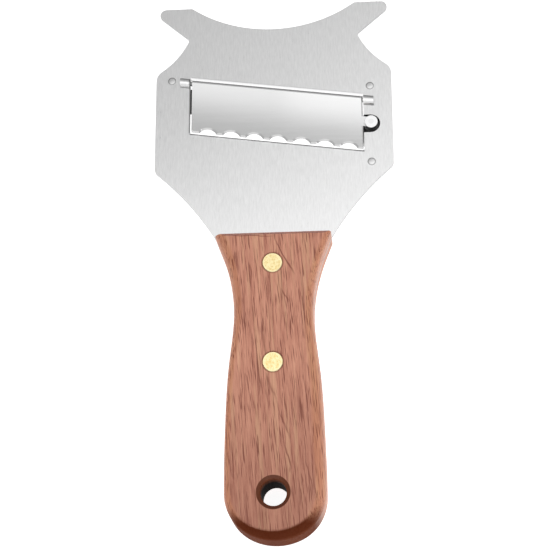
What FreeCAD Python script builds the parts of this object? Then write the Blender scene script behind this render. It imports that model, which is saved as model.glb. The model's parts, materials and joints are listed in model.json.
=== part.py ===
import FreeCAD, Part
import math
import os

from FreeCAD import Vector

# Adjustable hand slicer: a steel plate with a hinged, scalloped blade, a screw that sets
# the slice thickness, and a riveted wood handle.
# The slicer lies on the flat back of its handle. +Z is the front of the plate, +Y points
# at the horns, +X is the adjuster's side. The origin is on the resting plane, under the
# middle of the whole. Lengths are in millimetres and angles in degrees.

OVERALL_LENGTH = 220.9
HORN_TOP_Y = OVERALL_LENGTH / 2
HANDLE_END_Y = -OVERALL_LENGTH / 2

# Plate. Its mid-plane is the mid-plane of the handle.
HANDLE_THICKNESS = 18.0
PLATE_WIDTH = 95.0
PLATE_THICKNESS = 1.0
MID_Z = HANDLE_THICKNESS / 2
FRONT_Z = MID_Z + PLATE_THICKNESS / 2
BACK_Z = MID_Z - PLATE_THICKNESS / 2
SIDE_X = PLATE_WIDTH / 2
TOP_ARC_RADIUS = 56.5
TOP_ARC_DEPTH = 10.8
HORN_POINT_X = 50.9
HORN_TIP_RADIUS = 2.6
HORN_NOTCH = Vector(34.15, 95.95, 0)
NOTCH_RADIUS = 1.5
UPPER_SHOULDER_Y = 80.7
UPPER_SHOULDER_RADIUS = 5.0
UPPER_FLANK_RADIUS = 33.4
LOWER_SHOULDER_Y = 37.75
LOWER_SHOULDER_RADIUS = 3.5
LOWER_FLANK_RADIUS = 115.0
HORN_CORNER_RADIUS = 1.0

# Window, a parallelogram whose sides are parallel to Y and whose ends slant.
SLANT = 8.2
WINDOW_X = 1.225
WINDOW_Y = 61.1
WINDOW_HALF_WIDTH = 34.775
WINDOW_HEIGHT = 23.55
WINDOW_CORNER_RADIUS = 0.8
LIP_WIDTH = 1.1
LIP_DEPTH = 0.4
RAMP_WIDTH = 0.5
RAMP_DEPTH = 0.3

# Hinge, along the window's upper end.
HINGE_INSET = 1.65
HINGE_Z = MID_Z + 0.45
PIN_RADIUS = 0.9
PIN_REACH = 3.8
LOOP_BORE_RADIUS = 1.0
LOOP_RADIUS = 2.0
LOOP_LENGTH = 4.1

# Blade. At rest its edge stands a slice's thickness above the plate's front.
BLADE_THICKNESS = 0.6
BARREL_RADIUS = 1.45
BLADE_LEFT_GAP = 0.85
BLADE_RIGHT_GAP = 0.3
BLADE_BREAK_WIDTH = 0.5
BLADE_BREAK_DEPTH = 0.25
BLADE_OVERLAP = 0.2
REST_TILT = 1.33
SCALLOP_COUNT = 7
SCALLOP_PITCH = 9.43
SCALLOP_OFFSET = 0.7
SCALLOP_RADIUS = 4.1
SCALLOP_DEPTH = 1.9
GRIND_WIDTH = 0.7
EDGE_LAND = 0.12

# Adjuster: its screw runs in a bush on a strap behind the plate.
SCREW_X = 38.9
SCREW_Y = 55.7
SLOT_X = 38.65
SLOT_Y = 55.9
SLOT_RADIUS = 3.85
EAR_RADIUS = 2.1
EAR_HOLE_RADIUS = 1.5
GROOVE = 1.2
NECK_RADIUS = 1.1
DISC_RADIUS = 2.6
DISC_THICKNESS = 0.5
DISC_EDGE_RADIUS = 0.15
WASHER_RADIUS = 2.7
WASHER_BORE_RADIUS = 1.15
WASHER_THICKNESS = 0.4
RUNNING_GAP = 0.02
SCREW_RADIUS = 2.0
THREAD_PITCH = 0.7
THREAD_DEPTH = 0.35
STUB_RADIUS = 1.6
KNOB_RADIUS = 7.0
KNOB_BOTTOM_Z = 0.8
KNOB_TOP_Z = 3.7
KNOB_CHAMFER = 0.4
KNURL_COUNT = 30
KNURL_RADIUS = 0.45
KNURL_CENTRE_RADIUS = KNOB_RADIUS + KNURL_RADIUS / 3

STRAP_LEFT_X = 36.2
STRAP_RIGHT_X = 43.9
STRAP_MIDDLE_LEFT_X = 34.7
STRAP_THICKNESS = 1.2
STRAP_CLEARANCE = 2.5
STRAP_HALF_LENGTH = 20.2
STRAP_FOOT_START = 7.7
STRAP_RISE_START = 5.0
STRAP_CORNER_RADIUS = 2.0
STRAP_BEND_RADIUS = 0.6
STRAP_INNER_Z = BACK_Z - STRAP_CLEARANCE
STRAP_OUTER_Z = STRAP_INNER_Z - STRAP_THICKNESS
BUSH_RADIUS = 2.6
BUSH_FLANGE_RADIUS = 3.3
BUSH_FLANGE_THICKNESS = 0.8
BUSH_BORE_RADIUS = SCREW_RADIUS + 0.05
SPRING_MEAN_RADIUS = 2.4
SPRING_WIRE_RADIUS = 0.2
SPRING_TURNS = 4.5
SPRING_WIRE_SIDES = 8

# Small steel rivets in the plate.
SMALL_RIVET_RADIUS = 1.0
SMALL_HEAD_RADIUS = 1.65
SMALL_HEAD_HEIGHT = 0.15
BRIDGE_RIVET_OFFSET = 16.5
BRIDGE_RIVET_X = 38.75
KEEPER_RIVET = Vector(-41.1, 77.75, 0)
KEEPER_THICKNESS = 0.8
KEEPER_WIDTH = 6.4
KEEPER_DROP = 0.4
KEEPER_CORNER_RADIUS = 1.2
KEEPER_OUTER_X = -44.6
KEEPER_INNER_X = -33.8
KEEPER_LEG_INNER_X = -32.9
KEEPER_LEG_WIDTH = 4.0
KEEPER_LEG_END_Y = 63.5

# Handle. Stations are (distance below the wood's upper end, half width), down to the
# flank's end, where a corner arc and an end arc close the outline.
WOOD_TOP_Y = 7.9
HANDLE_STATIONS = [
    (0.0, 22.5),
    (8.2, 19.4),
    (23.0, 15.7),
    (33.0, 15.1),
    (51.7, 16.9),
    (69.0, 18.05),
    (86.0, 18.6),
]
HANDLE_HALF_WIDTH = 18.75
HANDLE_LEAN = 0.0045
HANDLE_TOP_SLOPE = 0.36
HANDLE_CORNER_RADIUS = 17.0
HANDLE_END_RADIUS = 21.0
UPPER_ROUNDING = 2.5
LOWER_ROUNDING = 4.8
TOP_BREAK_WIDTH = 1.1
TOP_BREAK_DEPTH = 0.8
TANG_END_Y = -57.4
HANG_HOLE_Y = -93.25
HANG_HOLE_RADIUS = 4.85
COUNTERSINK_RADIUS = 6.3

# Brass cutler's rivets through the handle: a hollow half at the front, a solid one behind.
HANDLE_RIVET_Y = {"upper": -4.7, "lower": -44.05}
BRASS_HEAD_RADIUS = 4.0
BRASS_HEAD_THICKNESS = 1.5
BRASS_HEAD_CHAMFER = 0.35
BRASS_BARREL_RADIUS = 2.5
BRASS_SHANK_RADIUS = 1.7
BRASS_BARREL_LENGTH = 11.0
BRASS_SHANK_LENGTH = 13.5
BRASS_STAND = 0.15
BRASS_SINK = 0.1

# Derived places.
HINGE_Y = WINDOW_Y + WINDOW_HEIGHT / 2 - HINGE_INSET / math.cos(math.radians(SLANT))
HINGE_ORIGIN = Vector(WINDOW_X, HINGE_Y, HINGE_Z)
WINDOW_DEPTH = WINDOW_HEIGHT * math.cos(math.radians(SLANT))
BLADE_REACH = WINDOW_DEPTH - HINGE_INSET + BLADE_OVERLAP
SHEET_LOW = BARREL_RADIUS - BLADE_THICKNESS
OVERRUN = 20.0
UP = Vector(0, 0, 1)
ORIGIN = Vector(0, 0, 0)


def plate_to_hinge(x, y):
    """A point of the plate in the hinge's frame: X along the hinge, Y towards the horns."""
    turn = math.radians(SLANT)
    dx = x - HINGE_ORIGIN.x
    dy = y - HINGE_ORIGIN.y
    return (dx * math.cos(turn) - dy * math.sin(turn), dx * math.sin(turn) + dy * math.cos(turn))


def hinge_to_plate(shape):
    """Place a shape made in the hinge's frame."""
    placed = shape.copy()
    placed.rotate(ORIGIN, UP, -SLANT)
    placed.translate(HINGE_ORIGIN)
    return placed


SCREW_ALONG, SCREW_ACROSS = plate_to_hinge(SCREW_X, SCREW_Y)
ARM = -SCREW_ACROSS
EAR_MID = (BARREL_RADIUS + SHEET_LOW) / 2
EAR_Z = HINGE_Z + EAR_MID + ARM * math.sin(math.radians(REST_TILT))
WASHER_TOP_Z = EAR_Z - GROOVE / 2
DISC_BOTTOM_Z = EAR_Z + GROOVE / 2
SHOULDER_Z = WASHER_TOP_Z - WASHER_THICKNESS - RUNNING_GAP
BUSH_TOP_Z = STRAP_INNER_Z + BUSH_FLANGE_THICKNESS


def cylinder(radius, low, high, x=0.0, y=0.0):
    """Upright cylinder between two heights."""
    return Part.makeCylinder(radius, high - low, Vector(x, y, low), UP)


def block(low, high):
    """Box between two opposite corners."""
    size = Vector(*high) - Vector(*low)
    return Part.makeBox(size.x, size.y, size.z, Vector(*low))


def slab(low_x, high_x):
    """Everything between two planes across X, to trim a piece of the plate."""
    return block((low_x, HANDLE_END_Y, -OVERRUN), (high_x, HORN_TOP_Y, 2 * OVERRUN))


def arc(start, end, radius):
    """Arc of the given radius that bows to the right of the way from start to end."""
    chord = end - start
    sagitta = radius - math.sqrt(radius ** 2 - chord.Length ** 2 / 4)
    side = Vector(chord.y, -chord.x, 0).normalize()
    return Part.Arc(start, (start + end) / 2 + side * sagitta, end).toShape()


def line(start, end):
    return Part.LineSegment(start, end).toShape()


def mirrored(edges):
    """The edges and their mirror images in X."""
    return edges + [edge.mirror(ORIGIN, Vector(1, 0, 0)) for edge in edges]


def prism(edges, low, high):
    """Solid between two heights whose outline is the given edges."""
    wire = Part.Wire(Part.__sortEdges__(edges))
    face = Part.Face(wire)
    face.translate(Vector(0, 0, low))
    return face.extrude(Vector(0, 0, high - low))


def round_upright_edges(solid, corners, radius):
    """Round the upright edges that stand on the given corners, and on their mirrors."""
    places = corners + [Vector(-corner.x, corner.y, 0) for corner in corners]
    chosen = []
    for edge in solid.Edges:
        ends = [vertex.Point for vertex in edge.Vertexes]
        upright = len(ends) == 2 and math.hypot(ends[0].x - ends[1].x, ends[0].y - ends[1].y) < 1e-6
        if upright and any(math.hypot(ends[0].x - p.x, ends[0].y - p.y) < 1e-3 for p in places):
            chosen.append(edge)
    return solid.makeFillet(radius, chosen)


def along_hinge(profile, half_length):
    """Prism along the hinge from a closed outline of (across, height) points."""
    points = [Vector(-half_length, y, z) for y, z in profile]
    face = Part.Face(Part.makePolygon(points + points[:1]))
    return face.extrude(Vector(2 * half_length, 0, 0))


def hinge_rod(radius, half_length):
    """Cylinder on the hinge's axis, in the hinge's frame."""
    return Part.makeCylinder(radius, 2 * half_length, Vector(-half_length, 0, 0), Vector(1, 0, 0))


def handle_outline():
    """Prism with the handle's full outline and thickness. The wood leans a little towards the adjuster."""
    between = HANDLE_END_RADIUS - HANDLE_CORNER_RADIUS
    corner_x = HANDLE_HALF_WIDTH - HANDLE_CORNER_RADIUS
    corner_drop = math.sqrt(between ** 2 - corner_x ** 2)
    flank_y = HANDLE_END_Y + HANDLE_END_RADIUS - corner_drop
    middle_x = HANDLE_LEAN * (WOOD_TOP_Y - flank_y)
    reach = HANDLE_END_RADIUS / between
    edges = []
    corner_ends = []
    for way in (-1, 1):
        flank_end = Vector(middle_x + way * HANDLE_HALF_WIDTH, flank_y, 0)
        corner_end = Vector(middle_x + way * corner_x * reach, flank_y + corner_drop * (1 - reach), 0)
        corner_ends.append(corner_end)
        points = []
        for drop, half in HANDLE_STATIONS:
            points.append(Vector(way * half + HANDLE_LEAN * drop, WOOD_TOP_Y - drop, 0))
        curve = Part.BSplineCurve()
        curve.interpolate(
            Points=points + [flank_end],
            InitialTangent=Vector(-way * HANDLE_TOP_SLOPE, -1, 0).normalize(),
            FinalTangent=Vector(0, -1, 0),
        )
        edges.append(curve.toShape())
        start, end = (corner_end, flank_end) if way > 0 else (flank_end, corner_end)
        edges.append(arc(start, end, HANDLE_CORNER_RADIUS))
    edges.append(arc(corner_ends[0], corner_ends[1], HANDLE_END_RADIUS))
    top_x = HANDLE_STATIONS[0][1]
    edges.append(line(Vector(-top_x, WOOD_TOP_Y, 0), Vector(top_x, WOOD_TOP_Y, 0)))
    return prism(edges, 0, HANDLE_THICKNESS)


def head_outline():
    """Prism with the outline of the plate's head, above the wood."""
    arc_low = Vector(0, HORN_TOP_Y - TOP_ARC_DEPTH, 0)
    half_gap = math.sqrt(TOP_ARC_RADIUS ** 2 - (TOP_ARC_RADIUS - TOP_ARC_DEPTH) ** 2)
    horn_corner = Vector(half_gap, HORN_TOP_Y, 0)
    horn_point = Vector(HORN_POINT_X, HORN_TOP_Y, 0)
    upper_shoulder = Vector(SIDE_X, UPPER_SHOULDER_Y, 0)
    lower_shoulder = Vector(SIDE_X, LOWER_SHOULDER_Y, 0)
    wood_corner = Vector(HANDLE_STATIONS[0][1], WOOD_TOP_Y, 0)
    right = [
        arc(arc_low, horn_corner, TOP_ARC_RADIUS),
        line(horn_corner, horn_point),
        line(horn_point, HORN_NOTCH),
        arc(HORN_NOTCH, upper_shoulder, UPPER_FLANK_RADIUS),
        line(upper_shoulder, lower_shoulder),
        arc(lower_shoulder, wood_corner, LOWER_FLANK_RADIUS),
    ]
    bottom = line(Vector(-wood_corner.x, WOOD_TOP_Y, 0), wood_corner)
    head = prism(mirrored(right) + [bottom], BACK_Z, FRONT_Z)
    head = round_upright_edges(head, [horn_corner], HORN_CORNER_RADIUS)
    head = round_upright_edges(head, [horn_point], HORN_TIP_RADIUS)
    head = round_upright_edges(head, [HORN_NOTCH], NOTCH_RADIUS)
    head = round_upright_edges(head, [upper_shoulder], UPPER_SHOULDER_RADIUS)
    return round_upright_edges(head, [lower_shoulder], LOWER_SHOULDER_RADIUS)


def tang():
    """The part of the plate in the handle's slot, flush with the wood's sides."""
    return handle_outline().common(
        block((-SIDE_X, TANG_END_Y, BACK_Z), (SIDE_X, WOOD_TOP_Y, FRONT_Z))
    )


def window_cutter():
    """Window, adjuster slot, the rolled upper lip and the ramp of the lower end."""
    lean = WINDOW_HALF_WIDTH * math.tan(math.radians(SLANT))
    corners = []
    for side, end in ((-1, 1), (1, 1), (1, -1), (-1, -1)):
        y = WINDOW_Y + end * WINDOW_HEIGHT / 2 - side * lean
        corners.append(Vector(WINDOW_X + side * WINDOW_HALF_WIDTH, y, 0))
    edges = [line(corners[i - 1], corners[i]) for i in range(len(corners))]
    opening = prism(edges, BACK_Z - 1, FRONT_Z + 1)
    opening = round_upright_edges(opening, corners[2:], WINDOW_CORNER_RADIUS)
    front = FRONT_Z - HINGE_Z
    upper = HINGE_INSET
    lower = HINGE_INSET - WINDOW_DEPTH
    bevels = []
    for edge, way, width, depth in ((upper, 1, LIP_WIDTH, LIP_DEPTH), (lower, -1, RAMP_WIDTH, RAMP_DEPTH)):
        profile = [(edge, front - depth), (edge + way * width, front), (edge, front + 1), (edge - way, front)]
        bevels.append(hinge_to_plate(along_hinge(profile, PLATE_WIDTH)))
    between = slab(WINDOW_X - WINDOW_HALF_WIDTH, WINDOW_X + WINDOW_HALF_WIDTH)
    slot = cylinder(SLOT_RADIUS, BACK_Z - 1, FRONT_Z + 1, SLOT_X, SLOT_Y)
    mouth = block(
        (WINDOW_X, SLOT_Y - SLOT_RADIUS, BACK_Z - 1),
        (SLOT_X, SLOT_Y + SLOT_RADIUS, FRONT_Z + 1),
    )
    return [opening, slot, mouth] + [bevel.common(between) for bevel in bevels]


def loop_spans():
    """Where the two pierced hinge loops lie along X, just outside the window."""
    left = WINDOW_X - WINDOW_HALF_WIDTH
    right = WINDOW_X + WINDOW_HALF_WIDTH
    return [(left - LOOP_LENGTH, left), (right, right + LOOP_LENGTH)]


def slicer_plate():
    """Plate with horns, window, slot, tang and the two loops pierced up out of its face."""
    plate = head_outline().fuse(tang()).removeSplitter()
    low = BACK_Z - HINGE_Z - 1
    channel = along_hinge(
        [(-LOOP_BORE_RADIUS, low), (LOOP_BORE_RADIUS, low), (LOOP_BORE_RADIUS, 0), (-LOOP_BORE_RADIUS, 0)],
        PLATE_WIDTH,
    )
    bore = hinge_to_plate(hinge_rod(LOOP_BORE_RADIUS, PLATE_WIDTH).fuse(channel))
    arch = hinge_to_plate(hinge_rod(LOOP_RADIUS, PLATE_WIDTH))
    above = block((-PLATE_WIDTH, 0, MID_Z), (PLATE_WIDTH, HORN_TOP_Y, FRONT_Z + LOOP_RADIUS))
    for low_x, high_x in loop_spans():
        span = slab(low_x, high_x)
        plate = plate.fuse(arch.common(above).common(span)).cut(bore.common(span))
    for cutter in window_cutter():
        plate = plate.cut(cutter)
    rivet_holes = [cylinder(SMALL_RIVET_RADIUS, BACK_Z, FRONT_Z, KEEPER_RIVET.x, KEEPER_RIVET.y)]
    for way in (-1, 1):
        y = SLOT_Y + way * BRIDGE_RIVET_OFFSET
        rivet_holes.append(cylinder(SMALL_RIVET_RADIUS, BACK_Z, FRONT_Z, BRIDGE_RIVET_X, y))
    for y in HANDLE_RIVET_Y.values():
        rivet_holes.append(cylinder(BRASS_BARREL_RADIUS, BACK_Z, FRONT_Z, 0, y))
    return plate.cut(Part.makeCompound(rivet_holes)).removeSplitter()


def serrated_blade():
    """Blade curled round the pin, with ground scallops and an ear for the screw's neck."""
    length = 2 * PLATE_WIDTH
    sheet = along_hinge(
        [
            (0, SHEET_LOW),
            (-BLADE_REACH, SHEET_LOW),
            (-BLADE_REACH, SHEET_LOW + EDGE_LAND),
            (-BLADE_REACH + GRIND_WIDTH, BARREL_RADIUS),
            (0, BARREL_RADIUS),
        ],
        length / 2,
    )
    blade = sheet.fuse(hinge_rod(BARREL_RADIUS, length / 2)).cut(hinge_rod(PIN_RADIUS, length / 2))
    middle = BLADE_REACH * math.tan(math.radians(SLANT)) + SCALLOP_OFFSET
    centre_y = -BLADE_REACH - SCALLOP_RADIUS + SCALLOP_DEPTH
    for number in range(SCALLOP_COUNT):
        x = middle + (number - (SCALLOP_COUNT - 1) / 2) * SCALLOP_PITCH
        flare = GRIND_WIDTH / (BLADE_THICKNESS - EDGE_LAND)
        base = Vector(x, centre_y, SHEET_LOW + EDGE_LAND)
        blade = blade.cut(Part.makeCylinder(SCALLOP_RADIUS, BLADE_THICKNESS, base - UP * BLADE_THICKNESS, UP))
        wide = SCALLOP_RADIUS + flare * BLADE_THICKNESS
        blade = blade.cut(Part.makeCone(SCALLOP_RADIUS, wide, BLADE_THICKNESS, base, UP))
    blade.rotate(ORIGIN, Vector(-1, 0, 0), REST_TILT)
    left = WINDOW_X - WINDOW_HALF_WIDTH + BLADE_LEFT_GAP
    right = WINDOW_X + WINDOW_HALF_WIDTH - BLADE_RIGHT_GAP
    blade = hinge_to_plate(blade).common(slab(left, right)).cut(side_break(right))
    return blade.fuse(blade_ear()).removeSplitter().cut(ear_hole())


def side_break(right):
    """Wedge that eases the blade's upper right edge."""
    width = BLADE_BREAK_WIDTH
    depth = BLADE_BREAK_DEPTH
    turn = math.radians(SLANT)
    profile = [(-width, 0), (width, -2 * depth), (width, depth)]
    corners = [Vector(right + x, 0, HINGE_Z + BARREL_RADIUS + z) for x, z in profile]
    wedge = Part.Face(Part.makePolygon(corners + corners[:1])).extrude(Vector(0, PLATE_WIDTH, 0))
    wedge.rotate(HINGE_ORIGIN, Vector(-math.cos(turn), math.sin(turn), 0), REST_TILT)
    return wedge


def blade_ear():
    """Narrow tongue of the blade's sheet that reaches over the slot to the screw."""
    root = block(
        (SCREW_ALONG - 2 * EAR_RADIUS, SCREW_ACROSS - EAR_RADIUS, SHEET_LOW),
        (SCREW_ALONG, SCREW_ACROSS + EAR_RADIUS, BARREL_RADIUS),
    )
    ear = root.fuse(cylinder(EAR_RADIUS, SHEET_LOW, BARREL_RADIUS, SCREW_ALONG, SCREW_ACROSS))
    ear.rotate(ORIGIN, Vector(-1, 0, 0), REST_TILT)
    return hinge_to_plate(ear)


def ear_hole():
    return cylinder(EAR_HOLE_RADIUS, FRONT_Z - 1, FRONT_Z + OVERRUN, SCREW_X, SCREW_Y)


def hinge_pin():
    """Pin held in the blade's barrel, with both ends turning in the plate's loops."""
    reach = (WINDOW_HALF_WIDTH + PIN_REACH) / math.cos(math.radians(SLANT))
    return hinge_to_plate(hinge_rod(PIN_RADIUS, reach))


def hinge_keeper():
    """Small plate that closes the left loop from behind, with a leg beside the blade's end."""
    y = KEEPER_RIVET.y - KEEPER_DROP
    low = Vector(KEEPER_OUTER_X, y - KEEPER_WIDTH / 2, BACK_Z - KEEPER_THICKNESS)
    keeper = block(low, (KEEPER_INNER_X, y + KEEPER_WIDTH / 2, BACK_Z))
    leg = block(
        (KEEPER_LEG_INNER_X - KEEPER_LEG_WIDTH, KEEPER_LEG_END_Y, low.z),
        (KEEPER_LEG_INNER_X, low.y, BACK_Z),
    )
    outer = []
    for edge in keeper.Edges:
        upright = abs(edge.tangentAt(edge.FirstParameter).z) > 0.9
        middle = edge.CenterOfMass
        if upright and (middle.x < low.x + 1 or middle.y > y):
            outer.append(edge)
    keeper = keeper.makeFillet(KEEPER_CORNER_RADIUS, outer).fuse(leg).removeSplitter()
    hole = cylinder(SMALL_RIVET_RADIUS, 0, MID_Z, KEEPER_RIVET.x, KEEPER_RIVET.y)
    return keeper.cut(hole)


def small_rivet(x, y, back_thickness):
    """Rivet with a low dome in front, closed over a washer-like head behind."""
    sphere_radius = (SMALL_HEAD_RADIUS ** 2 + SMALL_HEAD_HEIGHT ** 2) / (2 * SMALL_HEAD_HEIGHT)
    back = BACK_Z - back_thickness
    shank = cylinder(SMALL_RIVET_RADIUS, back, FRONT_Z, x, y)
    heads = []
    for face, way in ((FRONT_Z, 1), (back, -1)):
        ball = Part.makeSphere(sphere_radius, Vector(x, y, face + way * (SMALL_HEAD_HEIGHT - sphere_radius)))
        low, high = sorted((face, face + way * SMALL_HEAD_HEIGHT))
        heads.append(ball.common(cylinder(SMALL_HEAD_RADIUS + 1, low, high, x, y)))
    return shank.fuse(heads).removeSplitter()


def strap_side():
    """The strap's bent section as (from the slot along Y, height) points, all the way round."""
    slope = math.atan2(STRAP_CLEARANCE, STRAP_FOOT_START - STRAP_RISE_START)
    lean = STRAP_THICKNESS * math.tan(slope / 2)
    upper_half = [
        (STRAP_RISE_START + lean, STRAP_OUTER_Z),
        (STRAP_FOOT_START + lean, BACK_Z - STRAP_THICKNESS),
        (STRAP_HALF_LENGTH, BACK_Z - STRAP_THICKNESS),
        (STRAP_HALF_LENGTH, BACK_Z),
        (STRAP_FOOT_START, BACK_Z),
        (STRAP_RISE_START, STRAP_INNER_Z),
    ]
    return upper_half + [(-y, z) for y, z in reversed(upper_half)]


def adjuster_bridge():
    """Bent strap behind the slot: two riveted feet and a wider raised middle for the bush."""
    loop = [Vector(STRAP_MIDDLE_LEFT_X, SLOT_Y + y, z) for y, z in strap_side()]
    face = Part.Face(Part.makePolygon(loop + loop[:1]))
    strap = face.extrude(Vector(STRAP_RIGHT_X - STRAP_MIDDLE_LEFT_X, 0, 0))
    bends = []
    for edge in strap.Edges:
        along_x = edge.Length > STRAP_THICKNESS and abs(edge.tangentAt(0).x) > 0.99
        if along_x and abs(edge.CenterOfMass.y - SLOT_Y) < STRAP_HALF_LENGTH - 1:
            bends.append(edge)
    strap = strap.makeFillet(STRAP_BEND_RADIUS, bends)
    cutters = [cylinder(BUSH_RADIUS, 0, MID_Z, SCREW_X, SCREW_Y)]
    for way in (-1, 1):
        near, far = sorted((way * STRAP_RISE_START, way * (STRAP_HALF_LENGTH + 1)))
        low = (STRAP_MIDDLE_LEFT_X - 1, SLOT_Y + near, 0)
        cutters.append(block(low, (STRAP_LEFT_X, SLOT_Y + far, MID_Z)))
        rivet_y = SLOT_Y + way * BRIDGE_RIVET_OFFSET
        cutters.append(cylinder(SMALL_RIVET_RADIUS, 0, MID_Z, BRIDGE_RIVET_X, rivet_y))
    for cutter in cutters:
        strap = strap.cut(cutter)
    ends = []
    for edge in strap.Edges:
        at_end = abs(abs(edge.CenterOfMass.y - SLOT_Y) - STRAP_HALF_LENGTH) < 1e-3
        if at_end and abs(edge.Length - STRAP_THICKNESS) < 1e-3:
            ends.append(edge)
    return strap.makeFillet(STRAP_CORNER_RADIUS, ends)


def threaded_bush():
    """Flanged nut pressed into the strap from the plate's side."""
    bush = cylinder(BUSH_RADIUS, STRAP_OUTER_Z, BUSH_TOP_Z, SCREW_X, SCREW_Y)
    bush = bush.fuse(cylinder(BUSH_FLANGE_RADIUS, STRAP_INNER_Z, BUSH_TOP_Z, SCREW_X, SCREW_Y))
    return bush.removeSplitter().cut(cylinder(BUSH_BORE_RADIUS, 0, MID_Z, SCREW_X, SCREW_Y))


def adjusting_screw():
    """Stub in the knob, threaded body with rings at the thread's pitch, and a thin neck."""
    root = SCREW_RADIUS - THREAD_DEPTH
    points = [(0, KNOB_BOTTOM_Z), (STUB_RADIUS, KNOB_BOTTOM_Z), (STUB_RADIUS, KNOB_TOP_Z), (root, KNOB_TOP_Z)]
    turns = int((SHOULDER_Z - KNOB_TOP_Z) / THREAD_PITCH)
    for number in range(turns):
        low = KNOB_TOP_Z + number * THREAD_PITCH
        points.append((SCREW_RADIUS, low + THREAD_PITCH / 2))
        points.append((root, low + THREAD_PITCH))
    points += [(root, SHOULDER_Z), (NECK_RADIUS, SHOULDER_Z)]
    points += [(NECK_RADIUS, DISC_BOTTOM_Z + DISC_THICKNESS), (0, DISC_BOTTOM_Z + DISC_THICKNESS)]
    loop = [Vector(r, 0, z) for r, z in points]
    screw = Part.Face(Part.makePolygon(loop + loop[:1])).revolve(ORIGIN, UP, 360)
    screw.translate(Vector(SCREW_X, SCREW_Y, 0))
    return screw


def adjusting_knob():
    """Knurled knob fixed on the screw's stub."""
    knob = cylinder(KNOB_RADIUS, KNOB_BOTTOM_Z, KNOB_TOP_Z)
    rims = [edge for edge in knob.Edges if edge.Length > KNOB_RADIUS and len(edge.Vertexes) == 1]
    knob = knob.makeChamfer(KNOB_CHAMFER, rims)
    grooves = []
    for number in range(KNURL_COUNT):
        turn = 2 * math.pi * number / KNURL_COUNT
        x = KNURL_CENTRE_RADIUS * math.cos(turn)
        y = KNURL_CENTRE_RADIUS * math.sin(turn)
        grooves.append(cylinder(KNURL_RADIUS, KNOB_BOTTOM_Z - 1, KNOB_TOP_Z + 1, x, y))
    knob = knob.cut(Part.makeCompound(grooves)).cut(cylinder(STUB_RADIUS, 0, MID_Z))
    knob.translate(Vector(SCREW_X, SCREW_Y, 0))
    return knob


def retaining_disc():
    """Disc riveted on the end of the neck, over the blade's ear."""
    top = DISC_BOTTOM_Z + DISC_THICKNESS
    disc = cylinder(DISC_RADIUS, DISC_BOTTOM_Z, top, SCREW_X, SCREW_Y)
    rim = [edge for edge in disc.Edges if len(edge.Vertexes) == 1 and abs(edge.CenterOfMass.z - top) < 1e-6]
    disc = disc.makeFillet(DISC_EDGE_RADIUS, rim)
    return disc.cut(cylinder(NECK_RADIUS, 0, 2 * OVERRUN, SCREW_X, SCREW_Y))


def thrust_washer():
    """Washer between the screw's shoulder and the ear."""
    low = WASHER_TOP_Z - WASHER_THICKNESS
    washer = cylinder(WASHER_RADIUS, low, WASHER_TOP_Z, SCREW_X, SCREW_Y)
    return washer.cut(cylinder(WASHER_BORE_RADIUS, 0, 2 * OVERRUN, SCREW_X, SCREW_Y))


def adjuster_spring():
    """Compression spring between the bush's flange and the washer."""
    low = BUSH_TOP_Z + SPRING_WIRE_RADIUS
    high = WASHER_TOP_Z - WASHER_THICKNESS - SPRING_WIRE_RADIUS
    height = high - low
    helix = Part.makeHelix(height / SPRING_TURNS, height, SPRING_MEAN_RADIUS)
    section = []
    for number in range(SPRING_WIRE_SIDES):
        turn = 2 * math.pi * number / SPRING_WIRE_SIDES
        x = SPRING_MEAN_RADIUS + SPRING_WIRE_RADIUS * math.cos(turn)
        section.append(Vector(x, 0, SPRING_WIRE_RADIUS * math.sin(turn)))
    profile = Part.makePolygon(section + section[:1])
    spring = Part.Wire(helix).makePipeShell([profile], True, True)
    spring.translate(Vector(SCREW_X, SCREW_Y, low))
    return spring


def handle():
    """One-piece wood grip with a sawn slot, rivet holes and a countersunk hanging hole."""
    grip = handle_outline()
    breaks = []
    for face_z in (0, HANDLE_THICKNESS):
        sides = []
        for edge in grip.Edges:
            flat = all(abs(vertex.Z - face_z) < 1e-6 for vertex in edge.Vertexes)
            if flat and isinstance(edge.Curve, Part.BSplineCurve):
                sides.append(edge)
        grip = grip.makeFillet(LOWER_ROUNDING, UPPER_ROUNDING, sides)
        inward = TOP_BREAK_DEPTH if face_z == 0 else -TOP_BREAK_DEPTH
        wedge = [
            Vector(-SIDE_X, WOOD_TOP_Y - TOP_BREAK_WIDTH, face_z),
            Vector(-SIDE_X, WOOD_TOP_Y + TOP_BREAK_WIDTH, face_z + 2 * inward),
            Vector(-SIDE_X, WOOD_TOP_Y + TOP_BREAK_WIDTH, face_z),
        ]
        breaks.append(Part.Face(Part.makePolygon(wedge + wedge[:1])).extrude(Vector(2 * SIDE_X, 0, 0)))
    for wedge in breaks:
        grip = grip.cut(wedge)
    grip = grip.cut(block((-SIDE_X, TANG_END_Y, BACK_Z), (SIDE_X, WOOD_TOP_Y, FRONT_Z)))
    flare = COUNTERSINK_RADIUS - HANG_HOLE_RADIUS
    grip = grip.cut(cylinder(HANG_HOLE_RADIUS, 0, HANDLE_THICKNESS, 0, HANG_HOLE_Y))
    for face_z, way in ((0, 1), (HANDLE_THICKNESS, -1)):
        base = Vector(0, HANG_HOLE_Y, face_z)
        grip = grip.cut(Part.makeCone(COUNTERSINK_RADIUS, HANG_HOLE_RADIUS, flare, base, UP * way))
    for y in HANDLE_RIVET_Y.values():
        grip = grip.cut(cylinder(BRASS_BARREL_RADIUS, 0, HANDLE_THICKNESS, 0, y))
        grip = grip.cut(cylinder(BRASS_HEAD_RADIUS, 0, BRASS_HEAD_THICKNESS + BRASS_SINK, 0, y))
        seat = HANDLE_THICKNESS - BRASS_HEAD_THICKNESS
        grip = grip.cut(cylinder(BRASS_HEAD_RADIUS, seat, HANDLE_THICKNESS, 0, y))
    return grip


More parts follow.
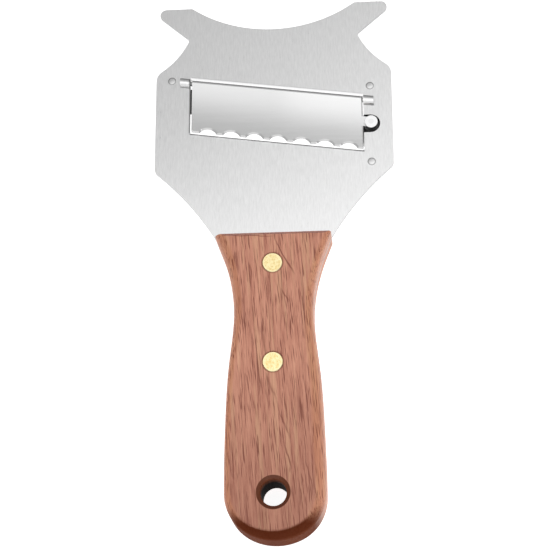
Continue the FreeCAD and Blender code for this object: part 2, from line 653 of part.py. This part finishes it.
def chamfered_head(low, high, y, top):
    """Rivet head whose outer rim, at the height top, has a small chamfer."""
    head = cylinder(BRASS_HEAD_RADIUS, low, high, 0, y)
    rim = [edge for edge in head.Edges if len(edge.Vertexes) == 1 and abs(edge.CenterOfMass.z - top) < 1e-6]
    return head.makeChamfer(BRASS_HEAD_CHAMFER, rim)


def rivet_front(y):
    """Hollow half of a cutler's rivet, its head in the handle's front."""
    top = HANDLE_THICKNESS + BRASS_STAND
    seat = HANDLE_THICKNESS - BRASS_HEAD_THICKNESS
    barrel = cylinder(BRASS_BARREL_RADIUS, seat - BRASS_BARREL_LENGTH, seat, 0, y)
    half = chamfered_head(seat, top, y, top).fuse(barrel).removeSplitter()
    return half.cut(cylinder(BRASS_SHANK_RADIUS, 0, seat, 0, y))


def rivet_back(y):
    """Solid half of a cutler's rivet, pressed into the hollow one from the back."""
    seat = BRASS_HEAD_THICKNESS + BRASS_SINK
    head = chamfered_head(BRASS_SINK, seat, y, BRASS_SINK)
    return head.fuse(cylinder(BRASS_SHANK_RADIUS, seat, seat + BRASS_SHANK_LENGTH, 0, y)).removeSplitter()


def small_rivets():
    """The three steel rivets of the plate, by name."""
    rivets = {"keeper_rivet": small_rivet(KEEPER_RIVET.x, KEEPER_RIVET.y, KEEPER_THICKNESS)}
    for name, way in (("upper", 1), ("lower", -1)):
        y = SLOT_Y + way * BRIDGE_RIVET_OFFSET
        rivets["bridge_rivet_" + name] = small_rivet(BRIDGE_RIVET_X, y, STRAP_THICKNESS)
    return rivets


def handle_rivets():
    """Both halves of the two brass rivets, by name."""
    halves = {}
    for name, y in HANDLE_RIVET_Y.items():
        halves[name + "_rivet_front"] = rivet_front(y)
        halves[name + "_rivet_back"] = rivet_back(y)
    return halves


def main():
    os.makedirs("parts", exist_ok=True)
    nodes = {
        "slicer_plate": slicer_plate(),
        "handle": handle(),
        "serrated_blade": serrated_blade(),
        "hinge_pin": hinge_pin(),
        "hinge_keeper": hinge_keeper(),
        "adjuster_bridge": adjuster_bridge(),
        "threaded_bush": threaded_bush(),
        "adjusting_screw": adjusting_screw(),
        "adjusting_knob": adjusting_knob(),
        "retaining_disc": retaining_disc(),
        "thrust_washer": thrust_washer(),
        "adjuster_spring": adjuster_spring(),
    }
    nodes.update(small_rivets())
    nodes.update(handle_rivets())
    for name, shape in nodes.items():
        shape.exportStep("parts/" + name + ".step")


main()
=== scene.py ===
import json
import math

import bpy
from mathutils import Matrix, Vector


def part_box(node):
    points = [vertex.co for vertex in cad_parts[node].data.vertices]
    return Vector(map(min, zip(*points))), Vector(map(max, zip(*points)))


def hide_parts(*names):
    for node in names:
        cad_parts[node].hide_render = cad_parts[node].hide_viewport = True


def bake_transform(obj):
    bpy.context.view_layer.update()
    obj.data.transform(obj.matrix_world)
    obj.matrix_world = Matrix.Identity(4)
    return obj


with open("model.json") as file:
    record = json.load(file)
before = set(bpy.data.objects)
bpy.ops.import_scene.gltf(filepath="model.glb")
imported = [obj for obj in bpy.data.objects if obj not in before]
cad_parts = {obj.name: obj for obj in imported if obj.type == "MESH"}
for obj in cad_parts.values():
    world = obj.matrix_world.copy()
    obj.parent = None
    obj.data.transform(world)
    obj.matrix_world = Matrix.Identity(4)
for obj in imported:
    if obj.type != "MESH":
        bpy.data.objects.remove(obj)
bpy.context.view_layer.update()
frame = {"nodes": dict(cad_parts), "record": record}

MM = 0.001

# The photograph's camera: place in metres, angles in degrees, lens and sensor in millimetres.
CAMERA_PLACE = (0.04513, -0.21287, 0.58902)
CAMERA_ANGLES = (19.520, 4.418, -0.254)
CAMERA_LENS = 104.68
SENSOR_WIDTH = 36.0

# Wood, brass and washer colours; the names say which stand for painted shade or a painted
# highlight.
WOOD_LIGHT = (0.80, 0.385, 0.26, 1.0)
WOOD_DARK = (0.36, 0.115, 0.072, 1.0)
WOOD_YELLOW = (0.78, 0.46, 0.27, 1.0)
WOOD_PORE = (0.17, 0.038, 0.02, 1.0)
WOOD_FLANK_SHADE = (0.5, 0.2, 0.085, 1.0)
WOOD_END = (0.085, 0.016, 0.005, 1.0)
WOOD_TOP = (0.30, 0.14, 0.13, 1.0)
WOOD_COUNTERSINK_AND_SHADE = (0.11, 0.025, 0.007, 1.0)
WOOD_BORE_SHADE = (0.010, 0.0045, 0.003, 1.0)
BRASS_DARK = (0.72, 0.55, 0.23, 1.0)
BRASS_LIGHT = (0.95, 0.83, 0.49, 1.0)
BRASS_PAINTED_HIGHLIGHT = (0.95, 0.84, 0.52, 1.0)
WASHER_BLACK_AND_SHADE = (0.012, 0.012, 0.013, 1.0)

BRASS_RIVETS = ["upper_rivet_front", "lower_rivet_front"]
SMALL_RIVETS = ["keeper_rivet", "bridge_rivet_upper", "bridge_rivet_lower"]

# Distances from a rivet's or hole's axis between which a mark fades in or out, and the radius of
# the painted shadow ring on a small rivet, in millimetres.
SMALL_RIVET_EDGE = (2.0, 2.2)
BRASS_HIGHLIGHT_SPAN = (3.0, 3.7)
BRASS_AREA = (5, 6)
BRASS_SEAT = (4.0, 4.5)
COUNTERSINK_EDGE = (6.25, 6.45)
BORE_EDGE = (4.95, 5.3)
SMALL_RIVET_SHADOW_RING = 1.5

# Places on the handle, in millimetres: the hanging hole's Y, the Y ranges of the low-end painted
# shade and of the dark end grain, the Z range over which the bore's painted shade deepens, and
# the grain's turn in degrees.
HANG_HOLE_Y = -93.25
LOW_END_SHADE_RANGE = (-105, -40)
END_GRAIN_RANGE = (-105, -96)
BORE_DEPTH_RANGE = (11.5, 14.5)
GRAIN_TURN = -3

# Dark figure lines of the wood, as (start, end, width, strength), with places and widths in
# millimetres.
FIGURE_LINES = [
    ((-22.0, 7.2), (1.6, 5.9), 0.4, 0.7),
    ((0.3, 5.8), (8.8, -10.5), 0.5, 0.8),
    ((3.1, -15.0), (6.6, -21.0), 0.5, 0.6),
    ((-4.8, -29.5), (-2.8, -40.0), 1.0, 0.45),
    ((-2.6, -47.5), (0.9, -59.0), 0.8, 0.5),
    ((0.9, -58.0), (6.1, -74.0), 0.5, 0.5),
    ((4.0, -73.5), (7.0, -87.5), 0.45, 0.7),
    ((9.7, -47.0), (10.3, -58.5), 0.3, 0.3),
    ((11.7, -78.5), (14.5, -95.5), 0.45, 0.6),
]

# Lines on the plate and its loops, as (start, end) in millimetres: painted shade that dims the
# bevel's highlight above the window, painted shadow along the window's left and lower edges, and
# painted shade in the gap at the left loop.
LIP_LINE = ((-33.6, 78.95), (36.3, 68.88))
WINDOW_SHADOW_LINES = [
    ((-33.7, 77.6), (-33.7, 54.4)),
    ((-34.0, 54.1), (36.3, 43.95)),
]
LOOP_GAP_SHADE = ((-33.2, 72.0), (-33.2, 80.0))

# Share of a line's length over which each end fades, for lines that end sharply.
SHARP = 0.01


def add(tree, kind, inputs=None, **settings):
    """Add a shader node; inputs are sockets to link or values to set."""
    made = tree.nodes.new("ShaderNode" + kind)
    for name, value in settings.items():
        setattr(made, name, value)
    for name, value in (inputs or {}).items():
        feed(tree, made.inputs[name], value)
    return made


def feed(tree, socket, value):
    """Link a socket to this one, or set its value."""
    if isinstance(value, bpy.types.NodeSocket):
        tree.links.new(value, socket)
    else:
        socket.default_value = value


def new_material(name, **shader_values):
    """Material with a Principled shader; returns the material, its tree and the shader."""
    material = bpy.data.materials.new(name)
    material.use_nodes = True
    shader = material.node_tree.nodes["Principled BSDF"]
    for key, value in shader_values.items():
        shader.inputs[key.replace("_", " ")].default_value = value
    return material, material.node_tree, shader


def place(tree):
    """The point in the part's own frame, in metres."""
    return add(tree, "TexCoord").outputs["Object"]


def facing(tree):
    """The true surface normal in the part's own frame, as separate values."""
    return add(tree, "SeparateXYZ", {"Vector": add(tree, "TexCoord").outputs["Normal"]}).outputs


def noise(tree, stretch, detail=3.0, roughness=0.55, turn=0.0, shift=0.0):
    """Noise with its own frequency along each axis, in cycles per metre, turned about Z."""
    rotation = (0, 0, math.radians(turn))
    turned = add(tree, "Mapping", {"Vector": place(tree), "Rotation": rotation})
    stretched = {
        "Vector": turned.outputs["Vector"],
        "Location": (shift, shift, shift),
        "Scale": stretch,
    }
    inputs = {
        "Vector": add(tree, "Mapping", stretched).outputs["Vector"],
        "Scale": 1.0,
        "Detail": detail,
        "Roughness": roughness,
    }
    return add(tree, "TexNoise", inputs).outputs["Fac"]


def spread(tree, value, low, high, out_low=0.0, out_high=1.0, smooth=False):
    """Map the range low..high to out_low..out_high, clamped."""
    inputs = {
        "Value": value,
        "From Min": low,
        "From Max": high,
        "To Min": out_low,
        "To Max": out_high,
    }
    kind = "SMOOTHSTEP" if smooth else "LINEAR"
    return add(tree, "MapRange", inputs, interpolation_type=kind).outputs["Result"]


def fade_out(tree, value, low, high, smooth=False):
    """One up to low and zero from high, both in millimetres."""
    return spread(tree, value, low * MM, high * MM, 1.0, 0.0, smooth)


def math_node(tree, operation, first, second=0.0):
    """Result of a Math node on sockets or plain values."""
    made = add(tree, "Math", operation=operation)
    for number, value in enumerate((first, second)):
        feed(tree, made.inputs[number], value)
    return made.outputs["Value"]


def add_up(tree, first, second):
    """Sum of two values."""
    return math_node(tree, "ADD", first, second)


def times(tree, first, second):
    """Product of two values."""
    return math_node(tree, "MULTIPLY", first, second)


def blend_colours(tree, share, first, second):
    """Colour that goes from first to second as share goes from 0 to 1."""
    made = add(tree, "Mix", data_type="RGBA")
    for name, value in (("Factor_Float", share), ("A_Color", first), ("B_Color", second)):
        feed(tree, next(s for s in made.inputs if s.identifier == name), value)
    return next(s for s in made.outputs if s.identifier == "Result_Color")


def shade(tree, colour, mask, strength, target):
    """Mix the colour towards a target where the mask is one."""
    return blend_colours(tree, times(tree, mask, strength), colour, target)


def grey(value):
    """Opaque grey of this level."""
    return (value, value, value, 1.0)


def middle_of(node):
    """Middle of a CAD node's box."""
    low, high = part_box(node)
    return (low + high) / 2


def axis_distance(tree, x, y):
    """Distance from the upright line through (x, y), in metres."""
    offset = add(tree, "VectorMath", {0: place(tree), 1: (x, y, 0)}, operation="SUBTRACT")
    level = {0: offset.outputs["Vector"], 1: (1, 1, 0)}
    flat = add(tree, "VectorMath", level, operation="MULTIPLY")
    length = add(tree, "VectorMath", {0: flat.outputs["Vector"]}, operation="LENGTH")
    return length.outputs["Value"]


def line_mask(tree, start, end, width, wobble=0.0, fade=0.25):
    """One along a line in the XY plane, zero beyond its width to each side.

    Places, width and wobble are in millimetres. Each end fades over this share of the length.
    """
    start = Vector((start[0], start[1], 0)) * MM
    end = Vector((end[0], end[1], 0)) * MM
    along = end - start
    length = along.length
    along.normalize()
    across = Vector((-along.y, along.x, 0))
    offset = add(tree, "VectorMath", {0: place(tree), 1: start}, operation="SUBTRACT")
    values = []
    for way in (along, across):
        pair = {0: offset.outputs["Vector"], 1: way}
        values.append(add(tree, "VectorMath", pair, operation="DOT_PRODUCT").outputs["Value"])
    sway = noise(tree, (150, 150, 150), detail=2.0)
    wave = spread(tree, sway, 0.3, 0.7, -wobble * MM, wobble * MM)
    gap = math_node(tree, "ABSOLUTE", add_up(tree, values[1], wave))
    near = fade_out(tree, gap, 0.0, width, smooth=True)
    begun = spread(tree, values[0], 0.0, fade * length)
    ended = spread(tree, values[0], (1 - fade) * length, length, 1.0, 0.0)
    return times(tree, near, times(tree, begun, ended))


def bump(tree, shader, height, strength, distance):
    """Relief on a shader from a height; the distance is in millimetres."""
    made = add(tree, "Bump", {"Height": height, "Strength": strength, "Distance": distance * MM})
    tree.links.new(made.outputs["Normal"], shader.inputs["Normal"])


def plate_steel():
    """Steel brushed along Y, with painted shade on steep and upturned faces and lines of painted
    shade round the window.
    """
    material, tree, shader = new_material("plate_steel", Metallic=1.0)
    streaks = noise(tree, (1700, 260, 1700), detail=4.0, roughness=0.7)
    colour = blend_colours(tree, spread(tree, streaks, 0.3, 0.7), grey(0.71), grey(0.81))
    normal = facing(tree)
    # Painted shade: steep faces, the plate's side walls and the loops' flanks, are darkened.
    steep_face_shade = spread(tree, normal["Z"], 0.15, 0.5, 1.0, 0.0)
    colour = shade(tree, colour, steep_face_shade, 0.7, grey(0.12))
    # Painted shade on faces turned up to +Y, such as the loops' upper sides.
    colour = shade(tree, colour, spread(tree, normal["Y"], 0.4, 0.5), 0.55, grey(0.15))
    # Painted shade that dims and narrows the highlight on the bevel above the window.
    lip = line_mask(tree, *LIP_LINE, 0.6, fade=SHARP)
    colour = shade(tree, colour, lip, 0.6, grey(0.5))
    # Painted shadow lines along the window's left and lower edges.
    for start, end in WINDOW_SHADOW_LINES:
        mask = line_mask(tree, start, end, 0.55, fade=SHARP)
        colour = shade(tree, colour, mask, 0.8, grey(0.08))
    tree.links.new(colour, shader.inputs["Base Color"])
    tree.links.new(spread(tree, streaks, 0.25, 0.75, 0.27, 0.35), shader.inputs["Roughness"])
    bump(tree, shader, streaks, 0.12, 0.02)
    return material


def blade_steel():
    """Polished steel with faint streaks along the blade, and painted shade where it turns into
    the hinge.
    """
    material, tree, shader = new_material("blade_steel", Metallic=1.0)
    streaks = noise(tree, (25, 1200, 25), detail=4.0, roughness=0.6)
    colour = blend_colours(tree, streaks, grey(0.84), grey(0.88))
    # Painted shade in the crevice where the blade turns up into the hinge under the lip.
    colour = shade(tree, colour, spread(tree, facing(tree)["Y"], 0.35, 0.7), 0.95, grey(0.02))
    tree.links.new(colour, shader.inputs["Base Color"])
    tree.links.new(spread(tree, streaks, 0.25, 0.75, 0.1, 0.12), shader.inputs["Roughness"])
    return material


def plain_metal(name, colour, roughness):
    """Metal of one colour whose roughness varies by a fifth each way."""
    material, tree, shader = new_material(name, Metallic=1.0, Base_Color=colour)
    mottle = noise(tree, (700, 700, 700), detail=3.0)
    uneven = spread(tree, mottle, 0.3, 0.7, roughness * 0.8, roughness * 1.2)
    tree.links.new(uneven, shader.inputs["Roughness"])
    return material


def small_steel():
    """Satin steel; the small rivets are duller and have a painted shadow ring, and the gap at
    the left loop has painted shade.
    """
    material, tree, shader = new_material("small_steel", Metallic=1.0, Roughness=0.36)
    colour = grey(0.86)
    for rivet in SMALL_RIVETS:
        centre = middle_of(rivet)
        from_axis = axis_distance(tree, centre.x, centre.y)
        dull = fade_out(tree, from_axis, *SMALL_RIVET_EDGE)
        colour = shade(tree, colour, dull, 1.0, grey(0.68))
        # Painted shadow ring round the edge of each small rivet's head.
        from_ring = math_node(tree, "ABSOLUTE", add_up(tree, from_axis, -SMALL_RIVET_SHADOW_RING * MM))
        colour = shade(tree, colour, fade_out(tree, from_ring, 0.1, 0.4), 0.6, grey(0.1))
    # Painted shade in the gap at the left loop.
    gap_shade = line_mask(tree, *LOOP_GAP_SHADE, 0.9, fade=SHARP)
    colour = shade(tree, colour, gap_shade, 0.9, grey(0.2))
    tree.links.new(colour, shader.inputs["Base Color"])
    return material


def rivet_brass():
    """Pale brass, flush with the wood, with a painted highlight that is brightest at its rim."""
    material, tree, shader = new_material("rivet_brass", Metallic=1.0)
    mottle = noise(tree, (1300, 900, 1300), detail=4.0, roughness=0.75, shift=5.0)
    colour = blend_colours(tree, spread(tree, mottle, 0.38, 0.6), BRASS_DARK, BRASS_LIGHT)
    for rivet in BRASS_RIVETS:
        from_axis = axis_distance(tree, 0, middle_of(rivet).y)
        # Painted highlight that brightens each brass rivet towards its rim.
        painted_rim = spread(tree, from_axis, BRASS_HIGHLIGHT_SPAN[0] * MM, BRASS_HIGHLIGHT_SPAN[1] * MM)
        near = fade_out(tree, from_axis, *BRASS_AREA)
        colour = shade(tree, colour, times(tree, painted_rim, near), 0.8, BRASS_PAINTED_HIGHLIGHT)
    tree.links.new(colour, shader.inputs["Base Color"])
    tree.links.new(spread(tree, mottle, 0.3, 0.7, 0.3, 0.45), shader.inputs["Roughness"])
    return material


def black_washer_and_shade():
    """Dull black plastic of the washer; its near-black also paints the shade in the slot round
    the disc.
    """
    return new_material("washer_black", Roughness=0.6, Base_Color=WASHER_BLACK_AND_SHADE)[0]


def wood_grain(tree):
    """Colour of the bare grain, and its fibre for the relief."""
    broad = noise(tree, (120, 12, 120), detail=2.0, turn=GRAIN_TURN)
    tone = spread(tree, broad, 0.3, 0.7)
    bands = noise(tree, (600, 24, 600), detail=3.0, turn=GRAIN_TURN, shift=3.0)
    band = spread(tree, bands, 0.3, 0.7)
    fine = noise(tree, (1500, 80, 1500), detail=5.0, roughness=0.75, turn=GRAIN_TURN, shift=7.0)
    fibre = spread(tree, fine, 0.35, 0.65)
    light = times(tree, tone, 0.2)
    for pattern, share in ((band, 0.3), (fibre, 0.5)):
        light = add_up(tree, light, times(tree, pattern, share))
    colour = blend_colours(tree, light, WOOD_DARK, WOOD_LIGHT)
    patches = noise(tree, (700, 30, 700), detail=2.0, turn=GRAIN_TURN, shift=19.0)
    return shade(tree, colour, spread(tree, patches, 0.52, 0.68), 0.4, WOOD_YELLOW), fibre


def wood_painted_shade(tree, colour, normal, spot):
    """Painted shade: darker orange flanks, and a front that darkens towards the handle's low
    end.
    """
    # Painted shade: flanks that turn sideways get a darker, more orange tone.
    flank = spread(tree, math_node(tree, "ABSOLUTE", normal["X"]), 0.06, 0.25)
    colour = shade(tree, colour, flank, 0.38, WOOD_FLANK_SHADE)
    # Painted shade: the front darkens towards the handle's low end.
    low_end_shade = spread(tree, spot["Y"], LOW_END_SHADE_RANGE[0] * MM, LOW_END_SHADE_RANGE[1] * MM, 0.32, 0.0)
    off_flanks = spread(tree, flank, 0.0, 1.0, 1.0, 0.0)
    return shade(tree, colour, low_end_shade, off_flanks, WOOD_COUNTERSINK_AND_SHADE)


def wood_pores(tree, colour):
    """The colour with dark streaks, pores and figure lines, and the pores for the relief."""
    dark = noise(tree, (1500, 26, 1500), detail=2.0, turn=-2.5, shift=23.0)
    colour = shade(tree, colour, spread(tree, dark, 0.6, 0.7), 0.65, WOOD_PORE)
    fine = noise(tree, (3200, 120, 3200), detail=1.0, turn=-5, shift=14.0)
    pores = spread(tree, fine, 0.57, 0.66)
    colour = shade(tree, colour, pores, 0.8, WOOD_PORE)
    for start, end, width, strength in FIGURE_LINES:
        mask = line_mask(tree, start, end, width, wobble=0.4)
        colour = shade(tree, colour, mask, strength, WOOD_PORE)
    return colour, pores


def wood_ends(tree, colour, normal, spot):
    """The colour with dark end grain low down and a duller top, and the end grain's mask."""
    toward_front = spread(tree, normal["Z"], 0.2, 0.5, 0.92, 1.0)
    low_end = fade_out(tree, spot["Y"], *END_GRAIN_RANGE, smooth=True)
    endways = times(tree, low_end, spread(tree, normal["Y"], -0.25, -0.05, 1.0, 0.0))
    colour = shade(tree, colour, times(tree, endways, toward_front), 0.96, WOOD_END)
    return shade(tree, colour, spread(tree, normal["Y"], 0.2, 0.5), 0.5, WOOD_TOP), endways


def wood_hole(tree, colour, spot):
    """The colour with a dark countersink and painted shade deep in the bore, and the bore's
    mask.
    """
    from_axis = axis_distance(tree, 0, HANG_HOLE_Y * MM)
    sunk = fade_out(tree, from_axis, *COUNTERSINK_EDGE)
    colour = shade(tree, colour, sunk, 0.9, WOOD_COUNTERSINK_AND_SHADE)
    bored = fade_out(tree, from_axis, *BORE_EDGE)
    # Painted shade that deepens down the bore.
    deep = fade_out(tree, spot["Z"], *BORE_DEPTH_RANGE)
    return shade(tree, colour, times(tree, bored, deep), 1.0, WOOD_BORE_SHADE), bored


def handle_wood():
    """Oiled reddish hardwood with its grain along Y, dark end grain and dark rivet seats, and
    painted shade on its flanks, towards its low end and deep in the bore.
    """
    material, tree, shader = new_material("handle_wood", Roughness=0.45)
    normal = facing(tree)
    spot = add(tree, "SeparateXYZ", {"Vector": place(tree)}).outputs
    colour, fibre = wood_grain(tree)
    colour = wood_painted_shade(tree, colour, normal, spot)
    colour, pores = wood_pores(tree, colour)
    colour, endways = wood_ends(tree, colour, normal, spot)
    colour, bored = wood_hole(tree, colour, spot)
    for rivet in BRASS_RIVETS:
        seat = fade_out(tree, axis_distance(tree, 0, middle_of(rivet).y), *BRASS_SEAT)
        colour = shade(tree, colour, seat, 0.6, WOOD_PORE)
    tree.links.new(colour, shader.inputs["Base Color"])
    dull = math_node(tree, "MAXIMUM", endways, bored)
    shine = spread(tree, dull, 0.0, 1.0, 0.33, 0.002)
    tree.links.new(shine, shader.inputs["Specular IOR Level"])
    bump(tree, shader, math_node(tree, "SUBTRACT", fibre, pores), 0.2, 0.06)
    return material


def softbox(name, centre, size, radiance, turn=0.0, tilt=0.0):
    """Rectangular soft light that faces down, tilted about X and turned about Z."""
    data = bpy.data.lights.new(name, "AREA")
    data.shape = "RECTANGLE"
    data.size, data.size_y = size
    data.energy = radiance * math.pi * size[0] * size[1]
    light = bpy.data.objects.new(name, data)
    light.location = centre
    light.rotation_euler = (math.radians(tilt), 0, math.radians(turn))
    bpy.context.scene.collection.objects.link(light)


def pale_floor():
    """Large pale floor just under the part; it gives off light too, so that it stays white."""
    bpy.ops.mesh.primitive_plane_add(size=6.0, location=(0, 0, -0.5 * MM))
    floor = bpy.context.object
    floor.name = "floor"
    looks = {
        "Roughness": 1.0,
        "Base_Color": grey(0.8),
        "Specular_IOR_Level": 0.0,
        "Emission_Color": grey(1.0),
        "Emission_Strength": 0.85,
    }
    floor.data.materials.append(new_material("floor", **looks)[0])


def surroundings():
    """Grey room that is darker near the horizon."""
    world = bpy.data.worlds.new("surroundings")
    world.use_nodes = True
    tree = world.node_tree
    ray = add(tree, "SeparateXYZ", {"Vector": add(tree, "TexCoord").outputs["Generated"]})
    level = spread(tree, ray.outputs["Z"], 0.0, 0.6, 0.25, 0.48)
    tree.links.new(level, tree.nodes["Background"].inputs["Strength"])
    tree.nodes["Background"].inputs["Color"].default_value = grey(1.0)
    bpy.context.scene.world = world


def studio():
    """Pale floor, even surroundings and soft lights above and around the part."""
    pale_floor()
    surroundings()
    softbox("overhead", (0.05, -0.08, 0.75), (0.8, 0.76), 1.08)
    softbox("strip_left", (-0.135, 0.509, 0.75), (0.18, 0.08), 0.6, turn=-10.2)
    softbox("strip_right", (0.045, 0.477, 0.75), (0.18, 0.08), 0.74, turn=-10.2)
    softbox("right", (0.33, 0.34, 0.75), (0.34, 0.36), 1.2)
    softbox("fill", (0.1, 0.345, 0.745), (0.34, 0.09), 0.5)
    softbox("near", (0.05, -0.75, 0.75), (1.8, 0.5), 0.3)
    softbox("side", (1.05, 0.1, 0.75), (0.6, 1.0), 0.8)
    softbox("front", (0.05, -1.0, 0.45), (1.6, 0.7), 0.7, tilt=70)


def photograph_camera():
    """Camera at the photograph's place and viewing angle."""
    data = bpy.data.cameras.new("camera")
    data.lens = CAMERA_LENS
    data.sensor_width = SENSOR_WIDTH
    data.clip_start = 0.01
    camera = bpy.data.objects.new("camera", data)
    camera.rotation_mode = "ZXY"
    camera.location = CAMERA_PLACE
    camera.rotation_euler = [math.radians(angle) for angle in CAMERA_ANGLES]
    bpy.context.scene.collection.objects.link(camera)
    bpy.context.scene.camera = camera


def finishes():
    """The material of each slot of the record."""
    return {
        "plate_steel": plate_steel(),
        "blade_steel": blade_steel(),
        "small_steel": small_steel(),
        "disc_steel": plain_metal("disc_steel", grey(0.95), 0.35),
        "knob_steel": plain_metal("knob_steel", grey(0.45), 0.36),
        # The spring's and the bridge's near-black colours are painted shade: they stand for the
        # shade in the slot round the disc and in the gap at the window's right edge.
        "spring_steel": plain_metal("spring_steel", grey(0.05), 0.4),
        "bridge_steel": plain_metal("bridge_steel", grey(0.06), 0.4),
        "washer_black": black_washer_and_shade(),
        "rivet_brass": rivet_brass(),
        "handle_wood": handle_wood(),
    }


def dress(made):
    """Give each CAD node the material of its slot in the record."""
    for part in frame["record"]["subparts"]:
        node = frame["nodes"][part["node"]]
        for slot in node.material_slots:
            slot.material = made[part["material_slot"]]


def stretch_spring():
    """Coils that stand for the spring: a copy of its mesh in its place, with the solid hidden.
    """
    solid = frame["nodes"]["adjuster_spring"]
    coils = bpy.data.objects.new("spring_coils", solid.data.copy())
    bpy.context.scene.collection.objects.link(coils)
    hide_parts("adjuster_spring")
    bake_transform(coils)


bpy.context.scene.view_settings.view_transform = "Standard"
studio()
photograph_camera()
dress(finishes())
stretch_spring()
